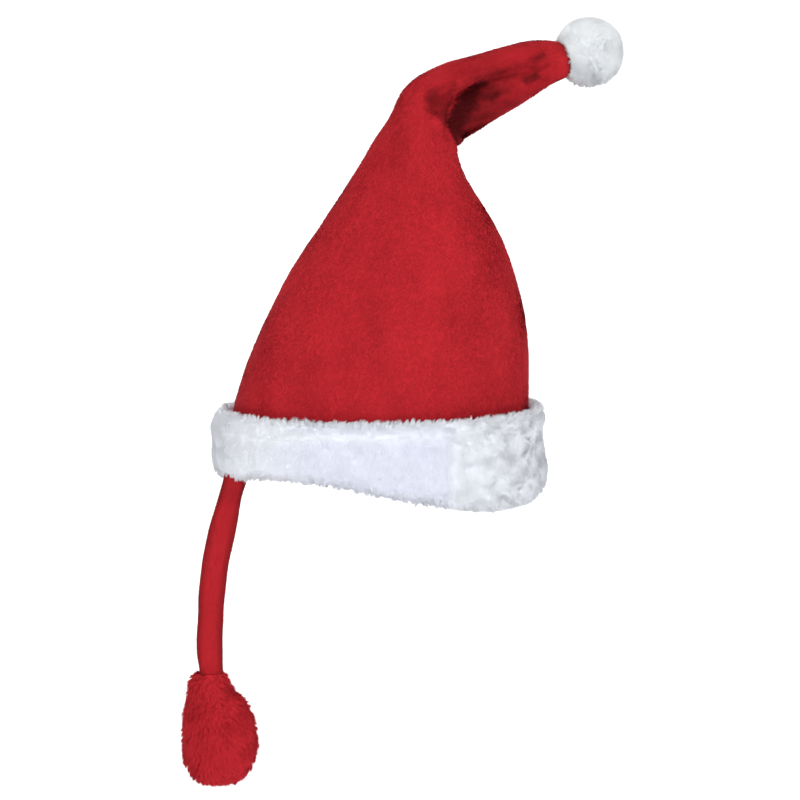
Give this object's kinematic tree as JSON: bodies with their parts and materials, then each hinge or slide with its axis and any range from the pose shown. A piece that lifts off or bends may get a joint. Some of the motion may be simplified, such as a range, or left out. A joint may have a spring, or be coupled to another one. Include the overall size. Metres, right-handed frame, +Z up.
{
  "type": "santa hat with a hand pump",
  "caption": "Plush hat with a bent-over tip, a turned-up fur cuff, a wool pompom, and an air hose in a cloth sleeve that ends in a fur-covered squeeze bulb.",
  "frame": {"origin": "middle of the head opening, where the hat sits on a head", "axes": "+Z up through the crown, +X from the hose's side to the side that the tip points to, -Y the side that shows the pocket of the bend"},
  "size_m": [0.2922, 0.1922, 0.5072],
  "materials": {
    "red_plush": "short velour nap",
    "white_fur": "dense short fur",
    "white_wool": "soft clipped wool",
    "red_sleeve": "smooth short nap",
    "red_fur": "shaggy short fur"
  },
  "bodies": {
    "root": {"crown": "red_plush", "cuff": "white_fur", "pompom": "white_wool", "hose_sleeve": "red_sleeve", "pump_bulb": "red_fur"}
  },
  "joints": []
}
